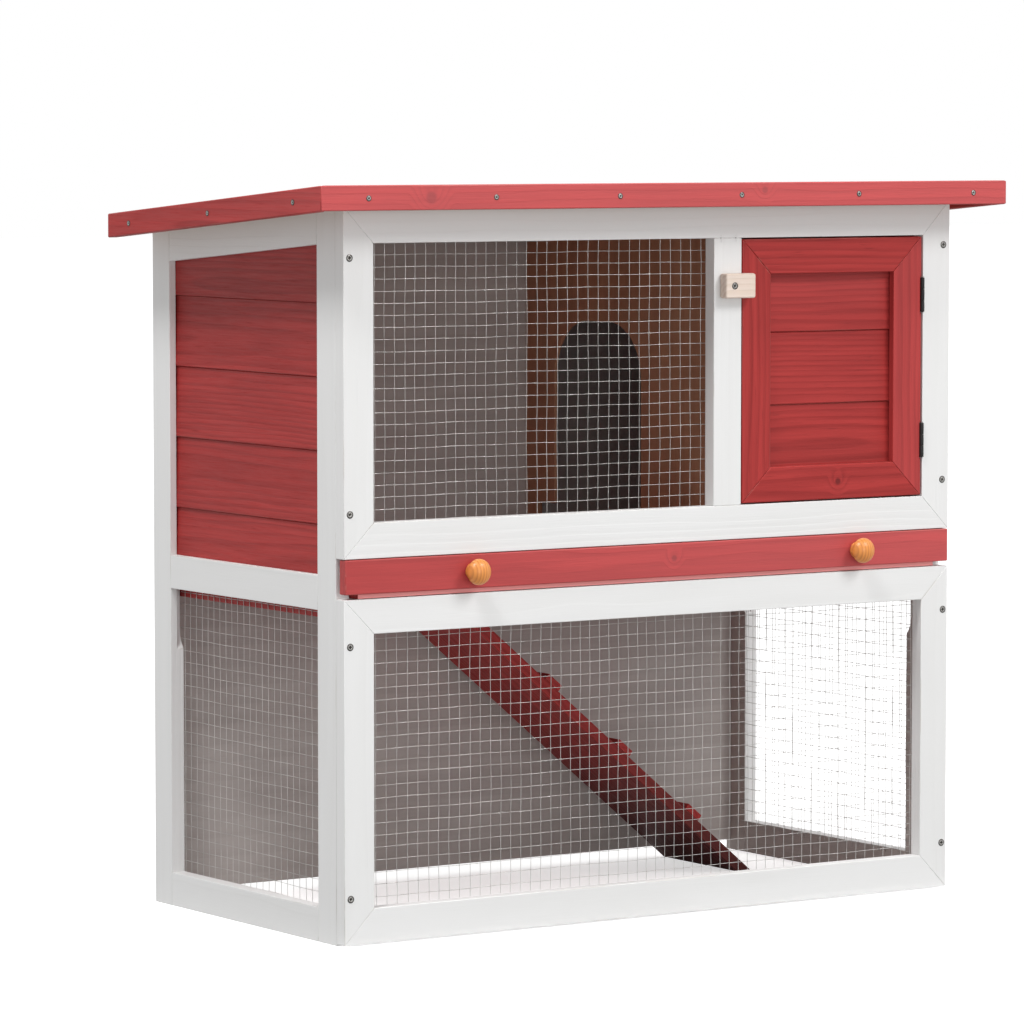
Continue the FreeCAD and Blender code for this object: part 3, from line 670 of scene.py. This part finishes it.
FRONT_SCREW = 0.0040
NAIL = 0.0031
BUTTON_SCREW = 0.0038
FRONTWARD = (0, -1, 0)


def frame_screws():
    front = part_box("upper_front_left_stile")[0].y
    heads, dark = [], []
    for middle, low, high in solid_middles("frame_screws"):
        centre = (middle.x, front - 0.0001, middle.z)
        *shape, shades = screw_head(centre, FRONTWARD, FRONT_SCREW, chance.uniform(0, 1.5))
        heads.append(shape)
        dark += shades
    piece("frame_screw_heads", *joined(heads), "frame_screws", wear_and_shade=dark)


def fascia_nails():
    parts, dark = [], []
    for middle, low, high in solid_middles("fascia_nails"):
        if high.y - low.y > high.x - low.x:
            centre, out = Vector((middle.x, low.y, middle.z)), FRONTWARD
        else:
            left = middle.x < 0
            centre = Vector((low.x if left else high.x, middle.y, middle.z))
            out = (-1, 0, 0) if left else (1, 0, 0)
        *shape, shades = screw_head(centre + Vector(out) * 0.0002, out, NAIL, recess=0.4)
        shank = lathe([(0.0011, -0.004), (0.0011, -0.0014)], centre, out, 20)
        parts += [shape, shank]
        dark += shades + [0.0] * len(shank[1])
    piece("fascia_nail_heads", *joined(parts), "fascia_nails", wear_and_shade=dark)


def button_screw(head):
    shank = lathe([(0.002, -0.022), (0.002, -0.0012)], head, FRONTWARD, 20)
    *shape, dark = screw_head(head, FRONTWARD, BUTTON_SCREW, 0.6, deep=0.0013)
    dark += [0.0] * len(shank[1])
    piece("turn_button_screw_shape", *joined([shape, shank]), "turn_button_screw", wear_and_shade=dark)


def knob_profile(long):
    """Radius and height along a turned knob: a flared foot, a neck, a belly and a domed end."""
    neck, neck_top = 0.0078, 0.0072
    belly, belly_top = 0.0140, 0.0117
    profile = [(0.0092, 0.0), (0.0092, 0.0012), (0.0080, 0.0030), (0.0074, 0.0052), (neck, neck_top)]
    for step in range(1, 11):
        turn = step * math.pi / 20
        height = neck_top + (belly_top - neck_top) * (1 - math.cos(turn))
        profile.append((neck + (belly - neck) * math.sin(turn), height))
    for step in range(1, 12):
        turn = step * math.pi / 24
        profile.append((belly * math.cos(turn), belly_top + (long - belly_top) * math.sin(turn)))
    profile.append((0.0002, long))
    return profile


def knobs():
    parts, grain = [], []
    for middle, low, high in solid_middles("tray_knobs"):
        foot = Vector((middle.x, high.y, middle.z))
        parts.append(lathe(knob_profile(high.y - low.y), foot, FRONTWARD, 48))
        for vert in parts[-1][0]:
            grain.append((vert.z - middle.z, vert.x - middle.x + 0.120, vert.y + 0.235))
    piece("tray_knobs_turned", *joined(parts), "tray_knobs", grain=grain)


def turn_button(button_low, button_high, head):
    """The latch block: rounded corners, softened rims and a countersunk hole for its screw."""
    face, back = button_low.y, button_high.y
    radius, steps = 0.0026, 6
    rows = ((0.0012, back), (0.0003, back - 0.0009), (0.0, back - 0.0022), (0.0, face + 0.0022),
            (0.0004, face + 0.0008), (0.0014, face))
    outline = []
    for sx, sz, start in ((1, 1, 0), (-1, 1, 90), (-1, -1, 180), (1, -1, 270)):
        cx = button_high.x - radius if sx > 0 else button_low.x + radius
        cz = button_high.z - radius if sz > 0 else button_low.z + radius
        for step in range(steps + 1):
            angle = math.radians(start + 90 * step / steps)
            outline.append((cx, cz, math.cos(angle), math.sin(angle)))
    verts = []
    count = len(outline)
    for inset, y in rows:
        verts += [(x + (radius - inset) * a, y, z + (radius - inset) * b) for x, z, a, b in outline]
    faces = bands(0, count, len(rows))
    sink = ((0.0044, face), (0.0040, face + 0.0004), (0.0040, face + 0.0022),
            (0.0024, face + 0.0026), (0.0024, back))
    first = len(verts)
    for ring, y in sink:
        for step in range(count):
            angle = 2 * math.pi * step / count
            verts.append((head.x + ring * math.cos(angle), y, head.z + ring * math.sin(angle)))
    faces += bands(first, count, len(sink))
    last = (len(rows) - 1) * count
    end = first + (len(sink) - 1) * count
    for step in range(count):
        after = (step + 1) % count
        faces.append([last + step, last + after, first + after, first + step])
        faces.append([end + step, end + after, after, step])
    grain = [(x - 3.1, z - button_low.z + 0.012, y - back + 0.034) for x, y, z in verts]
    smooth = []
    for corners in faces:
        depths = [verts[index][1] for index in corners]
        smooth.append(max(depths) - min(depths) > 1e-5)
    return piece("turn_button_block", verts, faces, "turn_button", smooth, grain, [0.0] * len(faces))


frame_screws()
fascia_nails()
low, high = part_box("turn_button_screw")
button_low, button_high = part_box("turn_button")
head = Vector(((low.x + high.x) / 2, button_low.y + 0.0005, (low.z + high.z) / 2))
button_screw(head)
knobs()
turn_button(button_low, button_high, head)


# ---------------------------------------------------------------- floor, light, camera

FLOOR_HALF = 30.0
CARD_LOW, CARD_HIGH, CARD_DEEP = (-0.42, -0.20), (0.42, 0.22), -0.004
SKY_FRONT, SKY_TOP, SKY_BELOW = 0.60, 0.46, 0.52
LIGHTS = (
    ("key", (1.35, -2.7, 3.3), (0.0, 0.0, 0.4), 1.5, 74.0),
    ("left", (-2.1, -0.9, 4.2), (-0.3, 0.0, 0.4), 1.1, 112.0),
    ("fill", (-0.4, -5.0, 0.9), (0.0, 0.0, 0.4), 1.4, 27.0),
)
LENS = 184.966
CAMERA_PLACE = (-3.2708, -4.8513, 0.8645)
CAMERA_DOWN, CAMERA_TURN = math.radians(4.2321), math.radians(33.4493)


def sheet(name, low, high, height, material):
    """A level rectangle."""
    corners = [(low[0], low[1], height), (high[0], low[1], height),
               (high[0], high[1], height), (low[0], high[1], height)]
    mesh = bpy.data.meshes.new(name)
    mesh.from_pydata(corners, [], [(0, 1, 2, 3)])
    mesh.materials.append(material)
    thing = bpy.data.objects.new(name, mesh)
    bpy.context.scene.collection.objects.link(thing)
    return thing


def floor():
    """A white floor that lights nothing by reflection, and a grey card just below it under the hutch."""
    reach = (FLOOR_HALF, FLOOR_HALF)
    thing = sheet("floor", (-FLOOR_HALF, -FLOOR_HALF), reach, 0.0, ground("pale_floor", 0.82, 0.74))
    thing.visible_diffuse = False
    thing.visible_glossy = False
    thing.visible_shadow = False
    card = sheet("flag", CARD_LOW, CARD_HIGH, CARD_DEEP, ground("grey_card", 0.72, 0.0))


def area_light(name, place, target, size, power):
    light = bpy.data.lights.new(name, "AREA")
    light.shape = "DISK"
    light.size = size
    light.energy = power
    thing = bpy.data.objects.new(name, light)
    bpy.context.scene.collection.objects.link(thing)
    thing.location = place
    thing.rotation_euler = (Vector(target) - Vector(place)).to_track_quat("-Z", "Y").to_euler()


def sky():
    """Soft white surroundings: bright behind and on the right, dimmer in front, above and below."""
    world = bpy.data.worlds.new("studio")
    bpy.context.scene.world = world
    s = Shader(world)
    look = s.add("TexCoord", out="Generated")
    behind = s.vector("DOT_PRODUCT", look, (0.80, 0.60, 0.0), out="Value")
    level = s.span(behind, -0.15, 0.80, SKY_FRONT, 1.0)
    high = s.vector("DOT_PRODUCT", look, (0.0, 0.0, 1.0), out="Value")
    level = s.add("Mix", {0: s.span(high, 0.25, 0.8), 2: level, 3: SKY_TOP})
    level = s.add("Mix", {0: s.span(high, -0.02, -0.30), 2: level, 3: SKY_BELOW})
    grey = s.add("CombineColor", {0: level, 1: level, 2: level})
    s.end(s.add("Background", {"Color": grey, "Strength": 1.0}), "OutputWorld")


def camera():
    lens = bpy.data.cameras.new("camera")
    lens.sensor_width = 36.0
    lens.lens = LENS
    lens.clip_end = 100.0
    thing = bpy.data.objects.new("camera", lens)
    bpy.context.scene.collection.objects.link(thing)
    thing.location = CAMERA_PLACE
    thing.rotation_euler = (math.pi / 2 - CAMERA_DOWN, 0.0, -CAMERA_TURN)
    bpy.context.scene.camera = thing


floor()
for light in LIGHTS:
    area_light(*light)
sky()
camera()
bpy.context.scene.view_settings.view_transform = "Standard"
